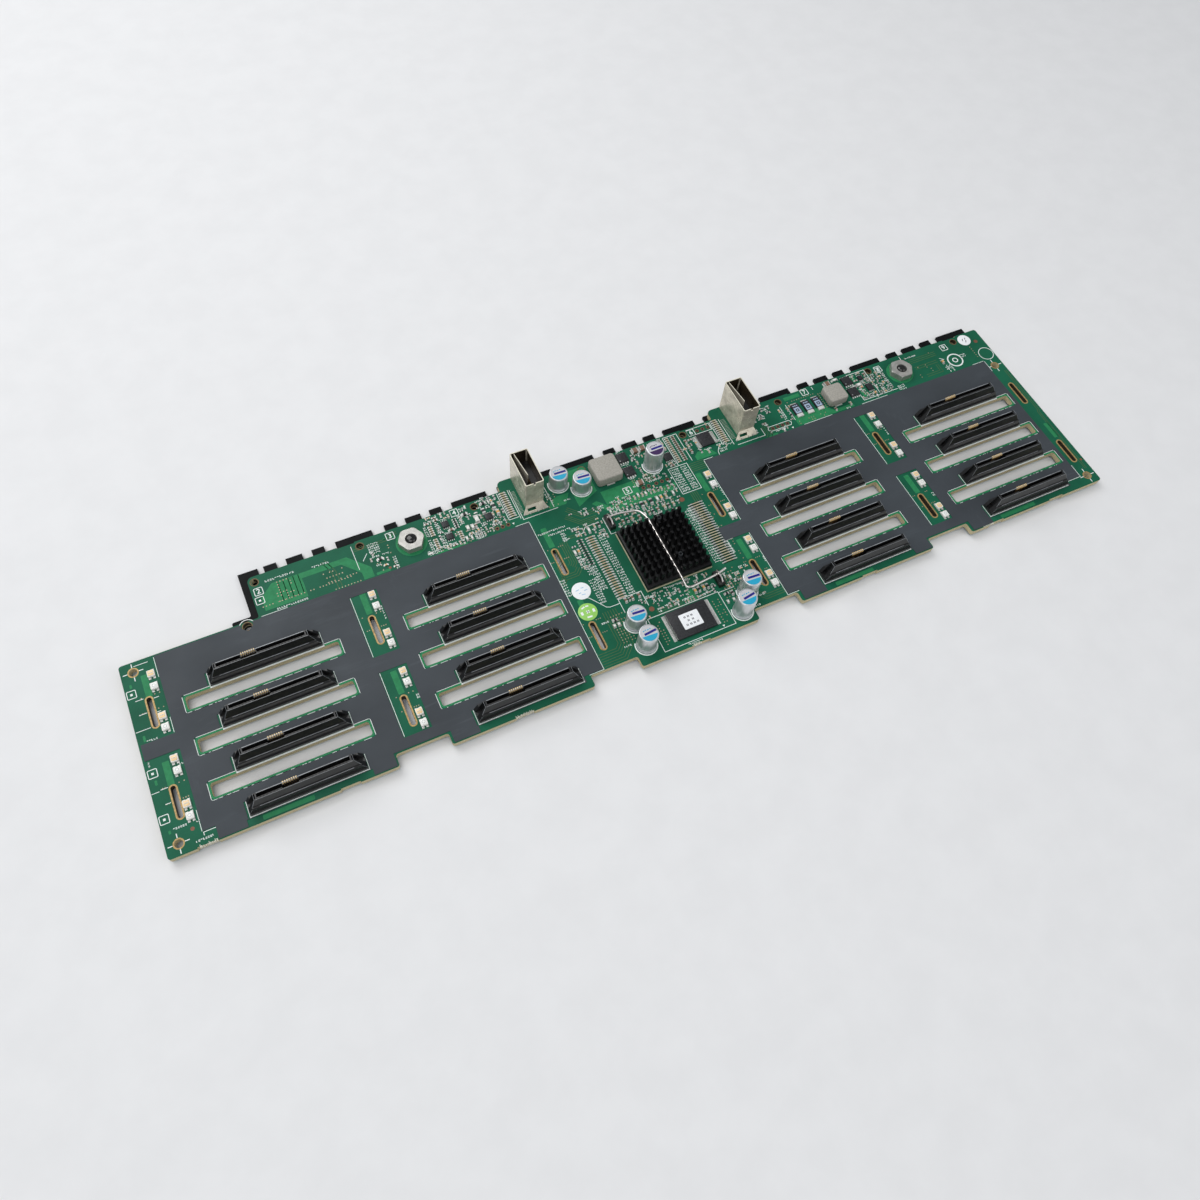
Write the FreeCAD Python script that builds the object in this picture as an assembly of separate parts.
import FreeCAD, Part
import math
import os

# circuit board
board_length = 424.5
board_depth = 100.3
board_thickness = 2.6
low_end_width = 54.8
low_end_depth = 81.0
board_corner = 1.2
step_corner = 2.5
far_tab_reach = 5.2
far_tab_width = 20.5
far_tab_lead = 6.9
far_tab_corner = 2.5
edge_notch_width = 21.0
edge_notch_depth = 4.9
bite_depth = 0.5
bite_width = 7.5
near_bite_x = (14.0, 66.2, 135.8, 214.0, 296.0, 364.2, 398.0)
far_bite_x = (96.5, 259.0, 317.2, 408.0)
far_strip_depth = 19.6

# stiffener under the far strip
stiffener_thickness = 1.5
stiffener_inner_lap = 13.0
stiffener_left_lap = 3.0
stiffener_foot_lap = 10.8
stiffener_foot_rise = 3.2
tooth_reach = 4.7
tooth_depth = 9.0
tooth_pitch = 52.0
first_tooth_lead = 5.8
wide_tooth = 16.0
narrow_tooth = 5.4
narrow_tooth_start = 13.4
middle_tooth = 7.0
middle_tooth_start = 22.8
last_tooth_start = 33.8

# drive receptacles
first_column_x = 52.2
column_pitch = 88.05
pair_pitch = 245.15
last_column_lead = 39.1
front_row_y = 59.2
row_pitch = 18.5
rows = 4
housing_length = 44.0
housing_depth = 6.0
housing_height = 7.6
foot_height = 1.2
ledge_height = 4.2
ledge_setback = 0.5
ledge_chamfer = 0.4
ledge_depth = 0.4
crown_setback = 2.3
crown_depth = 2.7
crown_length = 36.6
blade_slot_length = 34.4
blade_slot_width = 1.5
blade_slot_wall = 0.4
blade_slot_floor = 1.2
gate_centre = -4.9
gate_width = 6.2
gate_front = 0.5
end_pocket_wall = 0.5
end_pocket_rim = 0.4
end_pocket_floor = 2.4
pin_contacts = 7
pin_pitch = 0.82
pin_width = 0.42
pin_thickness = 0.35
pin_setback = 5.25
pin_top = 7.2

# airflow slots
slot_spacing = 28.05
slot_width = 5.7
slot_gap = 0.6
slot_shift = -2.2
slot_corner = 1.0
slot_margin = 1.1

# narrow plated slots for the light guides
light_slot_width = 2.0
light_slot_length = 13.0
light_slot_y = (57.5, 19.7)
light_slot_x = (7.7, 95.4, 175.9, 251.6, 339.7, 419.7)
edge_notch_x = (95.5, 176.2, 251.5, 340.0)

# indicator lights
light_x = (10.9, 99.0, 255.4, 344.0)
amber_light_y = (73.2, 54.4, 36.0, 17.4)
white_light_y = (67.6, 49.5, 31.1, 12.6)
light_size = 2.9
light_height = 1.3

# holes
corner_hole_diameter = 3.2
corner_hole_inset_x = 4.75
corner_hole_inset_y = 4.5
locating_hole_diameter = 3.5
locating_hole_inset_x = 5.3
locating_hole_inset_y = 2.2
strip_hole_diameter = 3.0
strip_hole_inset = 2.9
strip_hole_first_x = 50.6
strip_hole_pitch = 51.2

# hex nuts and domed pins
nut_x = (122.3, 372.3)
nut_inset = 9.5
nut_across_flats = 10.0
nut_height = 3.0
nut_chamfer = 0.4
dome_pin_diameter = 4.8
dome_pin_clearance = 0.2
dome_rise = 1.3

# cover films
film_thickness = 0.18
film_clearance = 0.5
film_end_clearance = 1.1
left_film_x = (13.5, 18.0, 28.5, 75.5, 84.4, 107.0, 117.5, 163.2, 171.5)
right_film_x = (258.0, 263.5, 274.5, 320.4, 329.0, 351.8, 362.5, 408.6, 416.0)
film_near_y = 5.5
film_hem_y = 3.0
film_tab_y = 0.45
film_edge = 0.6
film_notch = 2.4
film_notch_corner = 1.0
left_tongue_x = 0.8
right_tongue_x = 246.0
film_tongue_y = 39.2
film_tongue_depth = 6.8
film_window_x = (90.0, 335.0)
film_window_y = (46.0, 9.8)
film_window_width = 11.4
film_window_depth = 29.2

# processor, heat sink and wire clip
processor_place = 218.6
processor_y = 44.9
processor_size = 30.8
processor_thickness = 1.3
sink_size = 30.4
sink_base = 2.1
sink_height = 6.7
sink_pin = 1.5
sink_pin_pitch = 2.9
sink_row_pitch = 3.3
sink_columns = 5
sink_rows = 9
sink_channel = 2.6
clip_wire = 1.0
anchor_width = 2.8
anchor_length = 7.0
anchor_height = 2.6
anchor_slot = 0.9
anchor_inset = 1.1
anchor_gap = 2.9
hook_wire = 0.7
hook_inset = 0.8
hook_shoulder = 1.3
hook_rise = 3.7
hook_top = 4.7
clip_seat_gap = 0.15
clip_left_end = 0.8
clip_left_y = 4.9
clip_left_run = 4.2
clip_bend_rise = 0.3
clip_far_bend = (1.8, 6.1)
clip_far_edge = 0.9
clip_near_edge = 2.1
clip_near_bend = (0.2, 5.7)
clip_turn = (1.7, 6.5)
clip_right_y = 4.9
clip_right_end = (4.3, 6.1)

# cable sockets
cage_x = (177.4, 283.2)
cage_overhang = 5.5
cage_width = 8.4
cage_length = 18.4
cage_height = 17.0
cage_wall = 0.4
cage_apron_reach = 2.7
cage_apron_rise = 2.6
cage_apron_left = 6.4
cage_apron_right = 5.2
cage_apron_foot = 0.5
core_height = 9.0
core_clearance = 0.1
card_slot_width = 1.8
card_slot_length = 13.0
card_slot_depth = 6.0
cable_contacts = 9
cable_contact_pitch = 1.27
cable_contact_width = 0.6
cable_contact_height = 5.2
cable_contact_thickness = 0.25
core_key_width = 1.4
core_key_length = 5.0
core_key_depth = 2.0
cage_key_x = 3.6
cage_key_width = 0.9
cage_key_depth = 1.3
cage_dimple_radius = 0.45
cage_dimple_height = 2.9
cage_latch_near = 2.6
cage_latch_length = 1.6
cage_latch_height = 2.6
cage_latch_drop = 4.0
cage_latch_far = 13.0
cage_apron_window_x = 4.0
cage_apron_window_length = 3.8
cage_apron_window_drop = 0.5
cage_apron_window_height = 1.2
flap_start = 1.8
flap_end = 3.1
flap_length = 12.6
flap_thickness = 0.3
flap_drop = 0.5
flap_height = 6.0

# capacitors, whose y is from the near edge, or from the far strip's near line
can_radius = 4.25
can_bevel = 0.45
near_can_x = (192.4, 192.2, 242.4, 236.1)
near_can_y = (18.9, 8.2, 13.6, 6.3)
near_can_height = (8.8, 10.6, 11.9, 11.9)
strip_can_x = (191.4, 200.0, 234.8)
strip_can_y = (13.5, 7.7, 6.8)
strip_can_height = (8.3, 8.3, 12.3)

# power parts, whose y is from the far strip's near line
coil_x = (206.9, 328.0)
coil_y = (4.6, 4.0)
coil_size = (12.4, 9.8)
coil_height = (5.3, 4.5)
coil_corner = 1.6
coil_stand = 0.5
coil_foot_inset = 0.8
transistor_x = (221.2, 221.0, 341.8, 341.2)
transistor_y = (12.9, 4.9, 12.5, 5.5)
transistor_length = 4.8
transistor_depth = 4.9
transistor_height = 1.0
sense_resistor_x = (312.5, 318.3, 324.0)
sense_resistor_y = 5.3
sense_resistor_width = 4.3
sense_resistor_length = 8.0
sense_resistor_height = 0.8

# chips
memory_place = 205.2
memory_y = 4.3
memory_length = 18.0
memory_width = 13.0
memory_height = 1.1
memory_label_x = 4.4
memory_label_y = 3.0
memory_label_length = 8.7
memory_label_width = 7.0
controller_place = 260.6
controller_y = 6.6
controller_width = 6.4
controller_length = 7.2
controller_height = 1.1
small_chip_x = (136.8, 136.4, 241.2, 351.4, 350.4, 155.2)
small_chip_y = (11.3, 4.9, 6.1, 5.9, 13.1, 7.9)
small_chip_length = (3.0, 3.2, 3.8, 3.0, 2.2, 3.4)
small_chip_depth = (3.0, 2.8, 3.8, 3.8, 2.4, 3.0)
small_chip_height = 0.9
ceramic_x = (230.7, 234.3, 225.2, 334.0)
ceramic_y = (16.7, 16.7, -0.1, 16.9)
ceramic_length = 2.8
ceramic_depth = 2.5
ceramic_height = 1.4
pad_row_lead = 10.8
pad_row_start = 1.2
pad_row_pitch = 1.27
pad_row_count = 12
pad_length = 2.6
pad_depth = 0.7
pad_height = 0.45
chip_row_left = 26.6
chip_row_right = 23.0
chip_row_start = 13.4
chip_row_pitch = 3.2
chip_row_count = 10
chip_length = 2.0
chip_depth = 1.25
chip_height = 0.8

# labels
label_thickness = 0.12
round_label_radius = 4.1
round_label_place = 178.3
round_label_y = 41.2
end_label_inset = 9.2
end_label_far = 4.1
end_label_radius = 3.4
green_label_place = 176.7
green_label_y = 31.2

# shared placement
top = stiffener_thickness + board_thickness
middle_x = board_length / 2
middle_y = (board_depth + cage_overhang) / 2
strip_y = board_depth - far_strip_depth
nut_y = board_depth - nut_inset
cage_y = board_depth + cage_overhang - cage_length
locating_hole_x = low_end_width - locating_hole_inset_x
locating_hole_y = low_end_depth - locating_hole_inset_y
layout_length = first_column_x + pair_pitch + column_pitch + last_column_lead


def along(x):
    """Place along the board, which keeps its share of the length."""
    return x * board_length / layout_length


processor_x = along(processor_place)
slot_length = along(column_pitch) - slot_spacing
columns = (
    along(first_column_x),
    along(first_column_x + column_pitch),
    along(first_column_x + pair_pitch),
    along(first_column_x + pair_pitch + column_pitch),
)


def spot(x, y, z=0.0):
    return FreeCAD.Vector(x - middle_x, y - middle_y, top + z)


def block(x, y, z, length, depth, height):
    return Part.makeBox(length, depth, height, spot(x, y, z))


def column_of(x, y, z, radius, height):
    return Part.makeCylinder(radius, height, spot(x, y, z))


def outline(corners, z):
    """Closed wire through corners given as x, y, corner radius."""
    count = len(corners)
    edges = []
    starts = []
    ends = []
    arcs = []
    for i in range(count):
        x, y, radius = corners[i]
        here = spot(x, y, z)
        back = spot(corners[i - 1][0], corners[i - 1][1], z) - here
        ahead = spot(corners[(i + 1) % count][0], corners[(i + 1) % count][1], z) - here
        back.normalize()
        ahead.normalize()
        if radius == 0:
            starts.append(here)
            ends.append(here)
            arcs.append(None)
            continue
        half = back.getAngle(ahead) / 2
        reach = radius / math.tan(half)
        inward = back + ahead
        inward.normalize()
        nearest = here + inward * (radius / math.sin(half) - radius)
        starts.append(here + back * reach)
        ends.append(here + ahead * reach)
        arcs.append(nearest)
    for i in range(count):
        if arcs[i] is not None:
            edges.append(Part.Arc(starts[i], arcs[i], ends[i]).toShape())
        following = starts[(i + 1) % count]
        if ends[i].distanceToPoint(following) > 0.001:
            edges.append(Part.makeLine(ends[i], following))
    return Part.Wire(edges)


def plate(corners, z, thickness):
    face = Part.Face(outline(corners, z))
    return face.extrude(FreeCAD.Vector(0, 0, thickness))


def rounded_block(x, y, z, length, depth, height, radius):
    corners = (
        (x, y, radius),
        (x + length, y, radius),
        (x + length, y + depth, radius),
        (x, y + depth, radius),
    )
    return plate(corners, z, height)


def group(solids):
    return Part.makeCompound(solids)


def strip_holes():
    places = [low_end_width + strip_hole_inset]
    for i in range(1, 8):
        places.append(along(strip_hole_first_x + i * strip_hole_pitch))
    return places


def far_tab_starts():
    return [along(x) - cage_width / 2 - far_tab_lead for x in cage_x]


def board_corners():
    far = board_depth
    reach = board_depth + far_tab_reach
    corners = [(0, 0, board_corner)]
    for x in edge_notch_x:
        left = along(x) - edge_notch_width / 2
        right = along(x) + edge_notch_width / 2
        corners.append((left, 0, 1.0))
        corners.append((left, edge_notch_depth, 1.0))
        corners.append((right, edge_notch_depth, 1.0))
        corners.append((right, 0, 1.0))
    corners.append((board_length, 0, board_corner))
    corners.append((board_length, far, board_corner))
    for start in reversed(far_tab_starts()):
        corners.append((start + far_tab_width, far, 0.8))
        corners.append((start + far_tab_width, reach, far_tab_corner))
        corners.append((start, reach, far_tab_corner))
        corners.append((start, far, 0.8))
    corners.append((low_end_width, far, step_corner))
    corners.append((low_end_width, low_end_depth, 1.0))
    corners.append((0, low_end_depth, board_corner))
    return corners


def airflow_slots(margin, z, height, radius):
    cutters = []
    for x in columns:
        for row in range(rows - 1):
            y = front_row_y - row * row_pitch - slot_gap - slot_width
            left = x + slot_shift - slot_length / 2
            cutters.append(
                rounded_block(left - margin, y - margin, z, slot_length + 2 * margin,
                              slot_width + 2 * margin, height, radius))
    return cutters


def light_slots():
    cutters = []
    for x in light_slot_x:
        for y in light_slot_y:
            cutters.append(
                rounded_block(along(x) - light_slot_width / 2, y - light_slot_length / 2, -board_thickness,
                              light_slot_width, light_slot_length, board_thickness,
                              0.49 * light_slot_width))
    return cutters


def board_holes():
    cutters = []
    for x in (corner_hole_inset_x, board_length - corner_hole_inset_x):
        for y in (corner_hole_inset_y, low_end_depth - corner_hole_inset_y):
            cutters.append(column_of(x, y, -board_thickness, corner_hole_diameter / 2, board_thickness))
    cutters.append(
        column_of(locating_hole_x, locating_hole_y, -board_thickness,
                  locating_hole_diameter / 2, board_thickness))
    for x in strip_holes():
        cutters.append(
            column_of(x, board_depth - strip_hole_inset, -board_thickness,
                      strip_hole_diameter / 2, board_thickness))
    for x in nut_x:
        radius = dome_pin_diameter / 2 + dome_pin_clearance / 2
        cutters.append(column_of(along(x), nut_y, -board_thickness, radius, board_thickness))
    return cutters


def break_off_bites():
    cutters = []
    for x in near_bite_x:
        cutters.append(
            block(along(x) - bite_width / 2, 0, -board_thickness, bite_width, bite_depth, board_thickness))
    for x in far_bite_x:
        cutters.append(
            block(along(x) - bite_width / 2, board_depth - bite_depth, -board_thickness,
                  bite_width, bite_depth, board_thickness))
    return cutters


def circuit_board():
    body = plate(board_corners(), -board_thickness, board_thickness)
    cutters = airflow_slots(0, -board_thickness, board_thickness, slot_corner)
    cutters += light_slots()
    cutters += board_holes()
    cutters += break_off_bites()
    return body.cut(cutters)


def tooth_spans():
    spans = []
    centre = low_end_width - first_tooth_lead
    while centre < board_length:
        spans.append((centre - wide_tooth / 2, centre + wide_tooth / 2))
        for start, width in (
            (narrow_tooth_start, narrow_tooth),
            (middle_tooth_start, middle_tooth),
            (last_tooth_start, narrow_tooth),
        ):
            spans.append((centre + start, centre + start + width))
        centre += tooth_pitch
    spans[0] = (low_end_width - stiffener_left_lap, spans[0][1] + stiffener_left_lap)
    return [span for span in spans if span[1] < board_length]


def stiffener():
    bottom = -board_thickness - stiffener_thickness
    root = board_depth + tooth_reach - tooth_depth
    reach = board_depth + tooth_reach
    spans = tooth_spans()
    inner = low_end_depth - stiffener_inner_lap
    foot_x = low_end_width - stiffener_foot_lap
    foot_y = low_end_depth + stiffener_foot_rise
    corners = [(foot_x, inner, 1.0)]
    corners.append((spans[-1][1], inner, 1.0))
    for left, right in reversed(spans):
        if right != spans[-1][1]:
            corners.append((right, root, 0))
        corners.append((right, reach, 0))
        corners.append((left, reach, 0))
        if left != spans[0][0]:
            corners.append((left, root, 0))
    corners.append((spans[0][0], foot_y, 0.8))
    corners.append((foot_x, foot_y, 0.8))
    body = plate(corners, bottom, stiffener_thickness)
    cutters = []
    for x in nut_x:
        radius = dome_pin_diameter / 2 + dome_pin_clearance / 2
        cutters.append(column_of(along(x), nut_y, bottom, radius, stiffener_thickness))
    cutters.append(
        column_of(locating_hole_x, locating_hole_y, bottom, locating_hole_diameter / 2, stiffener_thickness))
    return body.cut(cutters)


def drive_receptacle(x, y):
    """Side profile with foot, ledge and leaning front, then the sloped ends with their pockets and the slots."""
    half = housing_length / 2
    crown_half = crown_length / 2
    ledge_front = y + ledge_setback
    crown_front = y + crown_setback
    crown_back = crown_front + crown_depth
    profile = Part.makePolygon([
        spot(x - half, y, 0),
        spot(x - half, y, foot_height),
        spot(x - half, ledge_front, foot_height),
        spot(x - half, ledge_front, ledge_height - ledge_chamfer),
        spot(x - half, ledge_front + ledge_chamfer, ledge_height),
        spot(x - half, ledge_front + ledge_chamfer + ledge_depth, ledge_height),
        spot(x - half, crown_front, housing_height),
        spot(x - half, crown_back, housing_height),
        spot(x - half, crown_back, ledge_height),
        spot(x - half, y + housing_depth, ledge_height),
        spot(x - half, y + housing_depth, 0),
        spot(x - half, y, 0),
    ])
    body = Part.Face(profile).extrude(FreeCAD.Vector(housing_length, 0, 0))
    slot_back = crown_back - blade_slot_wall
    slot_front = slot_back - blade_slot_width
    gate_y = slot_front - gate_front
    cutters = [
        block(x - blade_slot_length / 2, slot_front, blade_slot_floor,
              blade_slot_length, blade_slot_width, housing_height),
        block(x + gate_centre - gate_width / 2, gate_y, blade_slot_floor,
              gate_width, y + pin_setback - gate_y, housing_height),
    ]
    pocket_front = crown_front + end_pocket_rim
    pocket_width = crown_depth - 2 * end_pocket_rim
    for side in (-1, 1):
        end = Part.makePolygon([
            spot(x + side * half, y, foot_height),
            spot(x + side * crown_half, y, housing_height),
            spot(x + side * crown_half, y, 2 * housing_height),
            spot(x + side * half, y, 2 * housing_height),
            spot(x + side * half, y, foot_height),
        ])
        cutters.append(Part.Face(end).extrude(FreeCAD.Vector(0, housing_depth, 0)))
        inner = blade_slot_length / 2 + end_pocket_wall
        pocket = Part.makePolygon([
            spot(x + side * half, pocket_front, foot_height),
            spot(x + side * half, pocket_front, housing_height),
            spot(x + side * inner, pocket_front, housing_height),
            spot(x + side * (half - end_pocket_floor), pocket_front, foot_height),
            spot(x + side * half, pocket_front, foot_height),
        ])
        cutters.append(Part.Face(pocket).extrude(FreeCAD.Vector(0, pocket_width, 0)))
    return body.cut(cutters).removeSplitter()


def receptacle_contacts(x):
    pins = []
    for row in range(rows):
        back = front_row_y - row * row_pitch + pin_setback
        for i in range(pin_contacts):
            centre = x + gate_centre + (i - (pin_contacts - 1) / 2) * pin_pitch
            pins.append(
                block(centre - pin_width / 2, back - pin_thickness, blade_slot_floor,
                      pin_width, pin_thickness, pin_top - blade_slot_floor))
    return group(pins)


def processor():
    half = processor_size / 2
    return block(processor_x - half, processor_y - half, 0, processor_size, processor_size, processor_thickness)


def heat_sink():
    half = sink_size / 2
    left = processor_x - half
    near = processor_y - half
    floor = processor_thickness + sink_base
    body = block(left, near, processor_thickness, sink_size, sink_size, sink_height)
    cuts = [block(processor_x - sink_channel / 2, near, floor, sink_channel, sink_size, sink_height)]
    gap = sink_pin_pitch - sink_pin
    for side in (-1, 1):
        for i in range(1, sink_columns):
            centre = processor_x + side * (sink_channel / 2 + i * sink_pin_pitch - gap / 2)
            cuts.append(block(centre - gap / 2, near, floor, gap, sink_size, sink_height))
    margin = (sink_size - (sink_rows - 1) * sink_row_pitch - sink_pin) / 2
    row_gap = sink_row_pitch - sink_pin
    for i in range(sink_rows - 1):
        y = near + margin + sink_pin + i * sink_row_pitch
        cuts.append(block(left, y, floor, sink_size, row_gap, sink_height))
    cuts.append(block(left, near, floor, sink_size, margin, sink_height))
    cuts.append(block(left, near + sink_size - margin, floor, sink_size, margin, sink_height))
    return body.cut(cuts)


def bent_wire(points, diameter):
    path = Part.makePolygon([spot(x, y, z) for x, y, z in points])
    start = spot(*points[0])
    along = spot(*points[1]) - start
    side = along.cross(FreeCAD.Vector(0, 0, 1))
    if side.Length < 0.001:
        side = FreeCAD.Vector(1, 0, 0)
    side.normalize()
    over = along.cross(side)
    over.normalize()
    ring = []
    for i in range(8):
        angle = math.radians(22.5 + 45 * i)
        ring.append(start + side * (math.cos(angle) * diameter / 2) + over * (math.sin(angle) * diameter / 2))
    ring.append(ring[0])
    shell = Part.BRepOffsetAPI.MakePipeShell(path)
    shell.add(Part.makePolygon(ring))
    shell.setTransitionMode(1)
    shell.build()
    shell.makeSolid()
    return shell.shape()


def sink_clip():
    """Wire from under the left hook, over the far edge, along the channel and under the right hook."""
    lie = processor_thickness + sink_base + clip_wire / 2
    seat = anchor_height + clip_seat_gap + clip_wire / 2
    bend = seat + clip_bend_rise
    left, right = anchor_places()
    left_x = left[0] + anchor_width / 2
    right_x = right[0] + anchor_width / 2
    far = processor_y + sink_size / 2
    near = processor_y - sink_size / 2
    points = (
        (left_x - clip_left_end, left[1] + clip_left_y, seat),
        (left_x + clip_left_run, left[1] + clip_left_y, bend),
        (processor_x - clip_far_bend[0], far + clip_far_bend[1], bend),
        (processor_x, far + clip_far_edge, lie),
        (processor_x, near - clip_near_edge, lie),
        (processor_x - clip_near_bend[0], near - clip_near_bend[1], bend),
        (processor_x + clip_turn[0], near - clip_turn[1], bend),
        (right_x, right[1] + clip_right_y, seat),
        (right_x + clip_right_end[0], right[1] + clip_right_end[1], seat),
    )
    return bent_wire(points, clip_wire)


def anchor_places():
    half = processor_size / 2
    left = (processor_x - half - anchor_inset, processor_y + half + anchor_gap)
    right = (processor_x + half + anchor_inset - anchor_width, processor_y - half - anchor_gap - anchor_length)
    return left, right


def clip_anchor(place):
    x, y = place
    body = block(x, y, 0, anchor_width, anchor_length, anchor_height)
    cut_start = hook_inset - 0.5 * anchor_slot
    notch = block(x + anchor_width / 2 - anchor_slot / 2, y + cut_start, anchor_height / 2,
                  anchor_slot, anchor_length - 2 * cut_start, anchor_height)
    return body.cut(notch)


def clip_hooks():
    """Arch of wire that stands in the slot of each anchor."""
    hooks = []
    for place in anchor_places():
        x = place[0] + anchor_width / 2
        near = place[1] + hook_inset
        far = place[1] + anchor_length - hook_inset
        low = anchor_height / 2
        points = (
            (x, near, low),
            (x, near, hook_rise),
            (x, near + hook_shoulder, hook_top),
            (x, far - hook_shoulder, hook_top),
            (x, far, hook_rise),
            (x, far, low),
        )
        hooks.append(bent_wire(points, hook_wire))
    return group(hooks)


def cable_cage(x):
    """Sheet box with its flared apron, key notch, dimple, latch openings and the flap inside."""
    left = x - cage_width / 2
    right = left + cage_width
    outer = rounded_block(left, cage_y, 0, cage_width, cage_length, cage_height, 0.7)
    inner = rounded_block(left + cage_wall, cage_y + cage_wall, 0, cage_width - 2 * cage_wall,
                          cage_length - 2 * cage_wall, cage_height, 0.4)
    toe = cage_y - cage_apron_reach
    foot = Part.makePolygon([
        spot(x - cage_apron_left, toe, 0),
        spot(x + cage_apron_right, toe, 0),
        spot(x + cage_apron_right, toe + cage_apron_foot, 0),
        spot(x - cage_apron_left, toe + cage_apron_foot, 0),
        spot(x - cage_apron_left, toe, 0),
    ])
    brow = Part.makePolygon([
        spot(left + cage_wall, cage_y, cage_apron_rise),
        spot(right - cage_wall, cage_y, cage_apron_rise),
        spot(right - cage_wall, cage_y + cage_wall, cage_apron_rise),
        spot(left + cage_wall, cage_y + cage_wall, cage_apron_rise),
        spot(left + cage_wall, cage_y, cage_apron_rise),
    ])
    apron = Part.makeLoft([foot, brow], True, True)
    apron_open = block(x - cage_apron_window_x, toe, cage_apron_window_drop,
                       cage_apron_window_length, cage_apron_reach, cage_apron_window_height)
    key_notch = block(left + cage_key_x, cage_y, cage_height - cage_key_depth,
                      cage_key_width, cage_wall, cage_key_depth)
    dimple = Part.makeCylinder(cage_dimple_radius, cage_wall,
                               spot(left + cage_key_x + cage_key_width / 3, cage_y, cage_dimple_height),
                               FreeCAD.Vector(0, 1, 0))
    cutters = [inner, key_notch, dimple]
    for y in (cage_y + cage_latch_near, cage_y + cage_latch_far):
        cutters.append(
            block(right - cage_wall, y, cage_height - cage_latch_drop,
                  cage_wall, cage_latch_length, cage_latch_height))
    far = cage_y + cage_length - cage_wall / 2
    flap_low = cage_height - flap_drop - flap_height
    flap_line = Part.makePolygon([
        spot(left + flap_start, far, flap_low),
        spot(left + flap_start + flap_thickness, far, flap_low),
        spot(left + flap_end + flap_thickness, far - flap_length, flap_low),
        spot(left + flap_end, far - flap_length, flap_low),
        spot(left + flap_start, far, flap_low),
    ])
    flap = Part.Face(flap_line).extrude(FreeCAD.Vector(0, 0, flap_height))
    body = outer.cut(cutters).fuse(apron.cut([apron_open, inner]))
    return body.fuse(flap).removeSplitter()


def cable_core(x):
    gap = cage_wall + core_clearance
    left = x - cage_width / 2 + gap
    near = cage_y + gap
    width = cage_width - 2 * gap
    length = cage_length - 2 * gap
    body = rounded_block(left, near, 0, width, length, core_height, 0.4)
    card_slot = block(x - card_slot_width / 2, cage_y + (cage_length - card_slot_length) / 2,
                      core_height - card_slot_depth, card_slot_width, card_slot_length, card_slot_depth)
    key = block(left, near, core_height - core_key_depth, core_key_width, core_key_length, core_key_depth)
    return body.cut([card_slot, key]).removeSplitter()


def cable_socket_contacts():
    strips = []
    for x in [along(place) for place in cage_x]:
        near = cage_y + cage_length / 2 - (cable_contacts - 1) * cable_contact_pitch / 2
        for i in range(cable_contacts):
            y = near + i * cable_contact_pitch - cable_contact_width / 2
            for side in (-1, 1):
                face = x + side * card_slot_width / 2
                strip_x = min(face, face - side * cable_contact_thickness)
                strips.append(
                    block(strip_x, y, core_height - card_slot_depth,
                          cable_contact_thickness, cable_contact_width, cable_contact_height))
    return group(strips)


def capacitor(x, y, height):
    profile = Part.makePolygon([
        spot(x, y, 0),
        spot(x + can_radius, y, 0),
        spot(x + can_radius, y, height - can_bevel),
        spot(x + can_radius - can_bevel, y, height),
        spot(x, y, height),
        spot(x, y, 0),
    ])
    return Part.Face(profile).revolve(spot(x, y), FreeCAD.Vector(0, 0, 1), 360)


def power_coil(i):
    x = along(coil_x[i])
    y = strip_y + coil_y[i]
    size = coil_size[i]
    inset = coil_foot_inset
    body = rounded_block(x, y, coil_stand, size, size, coil_height[i] - coil_stand, coil_corner)
    foot = rounded_block(x + inset, y + inset, 0, size - 2 * inset, size - 2 * inset, coil_stand, inset)
    return body.fuse(foot)


def power_transistors():
    bodies = []
    for x, y in zip(transistor_x, transistor_y):
        bodies.append(
            block(along(x), strip_y + y, 0, transistor_length, transistor_depth, transistor_height))
    return group(bodies)


def sense_resistors():
    bodies = []
    for x in sense_resistor_x:
        bodies.append(
            block(along(x) - sense_resistor_width / 2, strip_y + sense_resistor_y, 0,
                  sense_resistor_width, sense_resistor_length, sense_resistor_height))
    return group(bodies)


def small_chips():
    bodies = []
    for x, y, length, depth in zip(small_chip_x, small_chip_y, small_chip_length, small_chip_depth):
        bodies.append(block(along(x), strip_y + y, 0, length, depth, small_chip_height))
    return group(bodies)


def ceramic_capacitors():
    bodies = []
    for x, y in zip(ceramic_x, ceramic_y):
        bodies.append(
            block(along(x) - ceramic_length / 2, strip_y + y - ceramic_depth / 2, 0,
                  ceramic_length, ceramic_depth, ceramic_height))
    return group(bodies)


def chip_resistors():
    bodies = []
    for x in cage_x:
        for i in range(pad_row_count):
            bodies.append(
                block(along(x) - pad_row_lead, cage_y - pad_row_start + pad_row_pitch * i, 0,
                      pad_length, pad_depth, pad_height))
    return group(bodies)


def chip_capacitors():
    bodies = []
    for x in (processor_x - chip_row_left, processor_x + chip_row_right):
        for i in range(chip_row_count):
            bodies.append(
                block(x, processor_y - chip_row_start + chip_row_pitch * i, 0,
                      chip_length, chip_depth, chip_height))
    return group(bodies)


def indicator_lights(heights):
    bodies = []
    for x in light_x:
        for y in heights:
            bodies.append(
                block(along(x) - light_size / 2, y - light_size / 2, 0, light_size, light_size, light_height))
    return group(bodies)


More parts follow.
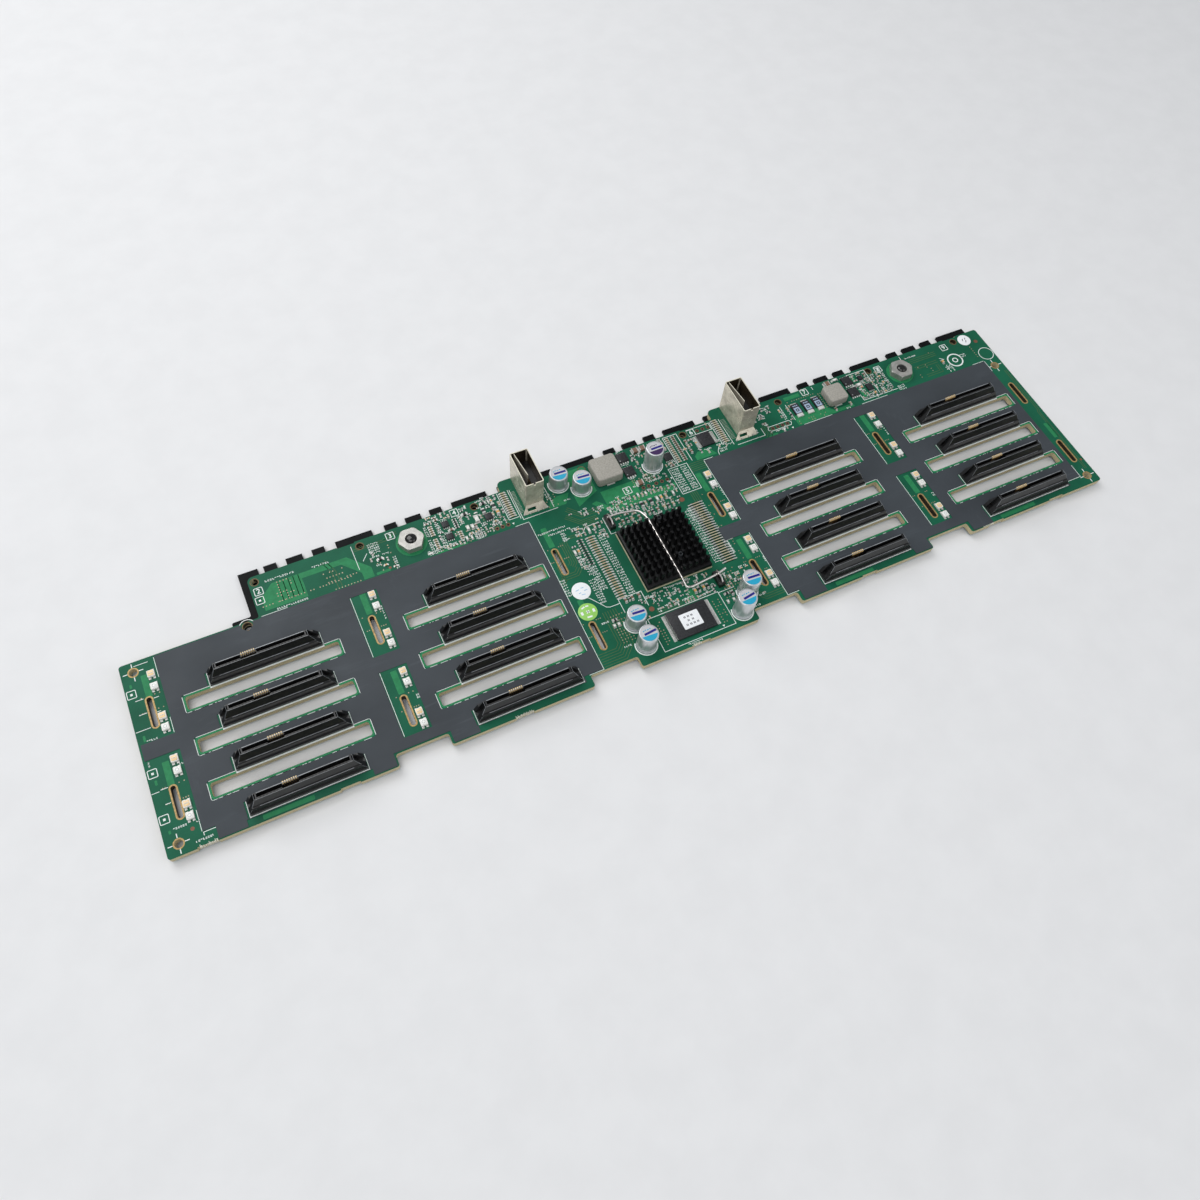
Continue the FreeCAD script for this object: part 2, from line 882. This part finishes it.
def hex_nuts():
    nuts = []
    radius = nut_across_flats / 2 / math.cos(math.radians(30))
    for x in [along(place) for place in nut_x]:
        corners = []
        for i in range(6):
            angle = math.radians(60 * i)
            corners.append((x + radius * math.cos(angle), nut_y + radius * math.sin(angle), 0))
        body = plate(corners, 0, nut_height)
        crown = radius - nut_chamfer
        cone = Part.makeCone(crown + nut_height, crown, nut_height, spot(x, nut_y))
        hole = column_of(x, nut_y, 0, dome_pin_diameter / 2 + dome_pin_clearance / 2, nut_height)
        nuts.append(body.common(cone).cut(hole))
    return group(nuts)


def domed_pins():
    pins = []
    bottom = -board_thickness - stiffener_thickness
    radius = dome_pin_diameter / 2
    shoulder = nut_height - 0.4
    ball = (radius ** 2 + dome_rise ** 2) / (2 * dome_rise)
    for x in [along(place) for place in nut_x]:
        shank = column_of(x, nut_y, bottom, radius, shoulder - bottom)
        cap = column_of(x, nut_y, shoulder, radius, dome_rise)
        sphere = Part.makeSphere(ball, spot(x, nut_y, shoulder + dome_rise - ball))
        pins.append(shank.fuse(cap.common(sphere)).removeSplitter())
    return group(pins)


def memory_label():
    return block(along(memory_place) + memory_label_x, memory_y + memory_label_y, memory_height,
                 memory_label_length, memory_label_width, label_thickness)


def round_label(x, y, radius):
    return column_of(x, y, 0, radius, label_thickness)


def film_openings(first, last):
    """Cutters for receptacles and airflow slots of the columns that lie under one film."""
    cutters = []
    height = film_thickness
    for x in columns[first:last]:
        for row in range(rows):
            y = front_row_y - row * row_pitch
            cutters.append(
                block(x - housing_length / 2 - film_end_clearance, y - film_clearance, 0,
                      housing_length + film_clearance + film_end_clearance,
                      housing_depth + 1.4 * film_clearance, height))
    cutters += airflow_slots(slot_margin, 0, height, slot_corner)[first * (rows - 1):last * (rows - 1)]
    return cutters


def cover_film(corners, first, last, window_x):
    body = plate(corners, 0, film_thickness)
    cutters = film_openings(first, last)
    for near in film_window_y:
        cutters.append(
            block(along(window_x), near, 0, film_window_width, film_window_depth, film_thickness))
    return body.cut(cutters)


def film_near_edge(places):
    start, tab, tab_end, middle, middle_end, last, last_end, hem_end, end = [along(x) for x in places]
    return [
        (start, film_near_y, 0), (tab, film_near_y, 0), (tab, film_tab_y, 0), (tab_end, film_tab_y, 0),
        (tab_end, film_hem_y, 0), (middle, film_hem_y, 0), (middle, film_tab_y, 0),
        (middle_end, film_tab_y, 0), (middle_end, film_near_y, 0), (last, film_near_y, 0),
        (last, film_tab_y, 0), (last_end, film_tab_y, 0), (last_end, film_hem_y, 0),
        (hem_end, film_hem_y, 0), (hem_end, film_near_y, 0), (end, film_near_y, 0), (end, strip_y, 0),
    ]


def film_tongue(start, tongue):
    far = film_tongue_y + film_tongue_depth
    return [(start, far, 0), (tongue, far, 0), (tongue, film_tongue_y, 0), (start, film_tongue_y, 0)]


def left_film():
    start = along(left_film_x[0])
    step = low_end_width + film_edge
    low = low_end_depth - film_edge
    notch_left = locating_hole_x - film_notch
    notch_right = locating_hole_x + film_notch
    corners = film_near_edge(left_film_x)
    corners += [
        (step, strip_y, 0), (step, low, 0), (notch_right, low, 0), (notch_right, locating_hole_y, 0),
        (locating_hole_x, locating_hole_y - film_notch, film_notch_corner),
        (notch_left, locating_hole_y, 0), (notch_left, low, 0), (start, low, 0),
    ]
    corners += film_tongue(start, left_tongue_x)
    return cover_film(corners, 0, 2, film_window_x[0])


def right_film():
    start = along(right_film_x[0])
    corners = film_near_edge(right_film_x)
    corners.append((start, strip_y, 0))
    corners += film_tongue(start, along(right_tongue_x))
    return cover_film(corners, 2, 4, film_window_x[1])


def save(shape, name):
    shape.exportStep("parts/" + name + ".step")


os.makedirs("parts", exist_ok=True)
save(circuit_board(), "circuit_board")
save(stiffener(), "stiffener")
for c, column_x in enumerate(columns):
    for r in range(rows):
        save(drive_receptacle(column_x, front_row_y - r * row_pitch), "drive_receptacle_%d_%d" % (c + 1, r + 1))
    save(receptacle_contacts(column_x), "receptacle_contacts_%d" % (c + 1))
save(processor(), "processor_package")
save(heat_sink(), "heat_sink")
save(sink_clip(), "heat_sink_clip")
save(clip_anchor(anchor_places()[0]), "clip_anchor_left")
save(clip_anchor(anchor_places()[1]), "clip_anchor_right")
save(clip_hooks(), "clip_hooks")
save(cable_cage(along(cage_x[0])), "cable_cage_left")
save(cable_cage(along(cage_x[1])), "cable_cage_right")
save(cable_core(along(cage_x[0])), "cable_core_left")
save(cable_core(along(cage_x[1])), "cable_core_right")
save(cable_socket_contacts(), "cable_contacts")
for n, (x, y, height) in enumerate(zip(strip_can_x, strip_can_y, strip_can_height)):
    save(capacitor(along(x), strip_y + y, height), "capacitor_%d" % (n + 1))
for n, (x, y, height) in enumerate(zip(near_can_x, near_can_y, near_can_height)):
    save(capacitor(along(x), y, height), "capacitor_%d" % (n + 1 + len(strip_can_x)))
save(power_coil(0), "power_coil_left")
save(power_coil(1), "power_coil_right")
save(power_transistors(), "power_transistors")
save(sense_resistors(), "sense_resistors")
save(small_chips(), "small_chips")
save(block(along(memory_place), memory_y, 0, memory_length, memory_width, memory_height), "memory_chip")
save(memory_label(), "memory_label")
save(block(along(controller_place), strip_y + controller_y, 0,
           controller_width, controller_length, controller_height), "controller_chip")
save(ceramic_capacitors(), "ceramic_capacitors")
save(chip_resistors(), "chip_resistors")
save(chip_capacitors(), "chip_capacitors")
save(indicator_lights(amber_light_y), "amber_lights")
save(indicator_lights(white_light_y), "white_lights")
save(hex_nuts(), "hex_nuts")
save(domed_pins(), "domed_pins")
save(group([round_label(along(round_label_place), round_label_y, round_label_radius),
            round_label(board_length - end_label_inset, board_depth - end_label_far, end_label_radius)]),
     "white_labels")
save(round_label(along(green_label_place), green_label_y, round_label_radius), "green_label")
save(left_film(), "cover_film_left")
save(right_film(), "cover_film_right")
